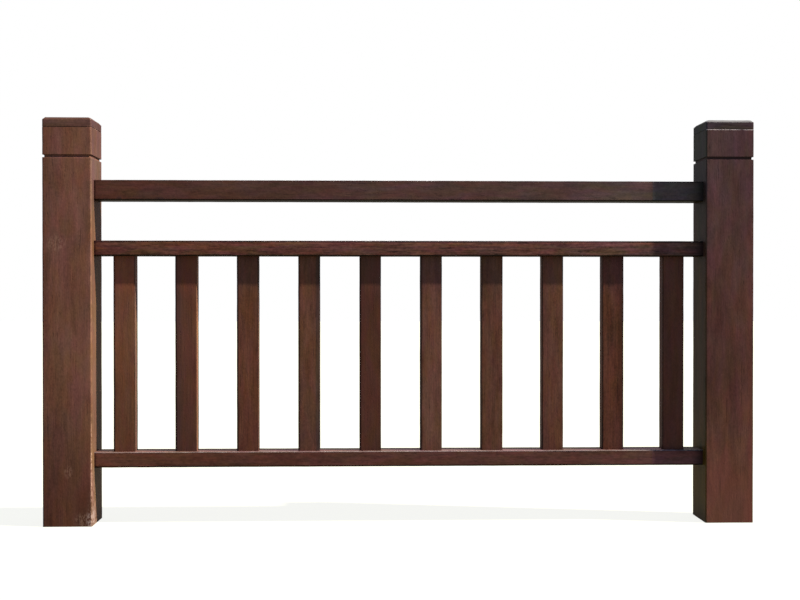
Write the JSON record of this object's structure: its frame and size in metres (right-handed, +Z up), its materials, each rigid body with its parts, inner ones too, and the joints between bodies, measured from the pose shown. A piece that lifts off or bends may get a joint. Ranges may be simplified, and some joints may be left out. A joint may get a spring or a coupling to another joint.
{
  "type": "deck railing section",
  "caption": "Dark timber deck railing section: square grooved posts with flush caps, a top rail, and upright balusters between a middle and a bottom rail.",
  "frame": {"origin": "centre of the left post's foot, on the face that stands on the deck", "axes": "+X along the railing from the left post to the right post, +Y to the back, +Z up"},
  "size_m": [1.76, 0.12, 1.005],
  "materials": {
    "post_timber": "oiled satin",
    "cap_timber": "oiled satin",
    "rail_timber": "oiled satin",
    "baluster_timber": "oiled satin"
  },
  "bodies": {
    "root": {"left_post": "post_timber", "right_post": "post_timber", "left_post_cap": "cap_timber", "right_post_cap": "cap_timber", "top_rail": "rail_timber", "middle_rail": "rail_timber", "bottom_rail": "rail_timber", "baluster_01": "baluster_timber", "baluster_02": "baluster_timber", "baluster_03": "baluster_timber", "baluster_04": "baluster_timber", "baluster_05": "baluster_timber", "baluster_06": "baluster_timber", "baluster_07": "baluster_timber", "baluster_08": "baluster_timber", "baluster_09": "baluster_timber", "baluster_10": "baluster_timber"}
  },
  "joints": []
}
